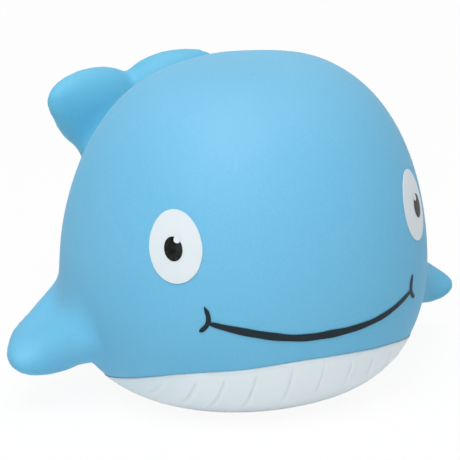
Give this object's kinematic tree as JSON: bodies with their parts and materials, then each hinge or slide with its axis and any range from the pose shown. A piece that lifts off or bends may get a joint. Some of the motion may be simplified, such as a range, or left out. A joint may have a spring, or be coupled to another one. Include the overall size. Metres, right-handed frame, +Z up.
{
  "type": "squeaky bath toy",
  "caption": "Chubby light-blue whale for the bath: soft hollow skin with a white pleated belly, painted eyes and smile, and a pressed-in squeaker with a springy reed.",
  "frame": {"origin": "on the floor, at the middle of the flat base ring, on the squeaker's axis", "axes": "+Z up, the face looks towards -Y and the tail is towards +Y, +X is towards the whale's own left flipper"},
  "size_m": [0.1114, 0.1035, 0.0746],
  "materials": {
    "blue_skin": "satin, soft moulded latex",
    "white_coat": "satin sprayed coat",
    "white_paint": "smooth paint, semi-gloss",
    "black_paint": "glossy paint",
    "brush_black": "hand-brushed satin paint",
    "ivory_plastic": "moulded, lightly polished",
    "red_plastic": "moulded",
    "reed_brass": "rolled strip"
  },
  "bodies": {
    "whale": {"body_skin": "blue_skin", "belly_coat": "white_coat", "eye_white_left": "white_paint", "eye_white_right": "white_paint", "pupil_left": "black_paint", "pupil_right": "black_paint", "catchlight_left": "white_paint", "catchlight_right": "white_paint", "smile_line": "brush_black", "squeaker_housing": "ivory_plastic", "squeaker_cap": "ivory_plastic", "reed_plug": "red_plastic", "reed_clamp": "red_plastic"},
    "reed": {"reed": "reed_brass"}
  },
  "joints": [
    {"name": "reed_flex", "type": "hinge", "parent": "whale", "child": "reed", "pos_m": [0, -0.00017, 0.0096], "axis": [1, 0, 0], "range_deg": [-3.5, 3.5], "stiffness_Nm_per_rad": 0.0001}
  ]
}
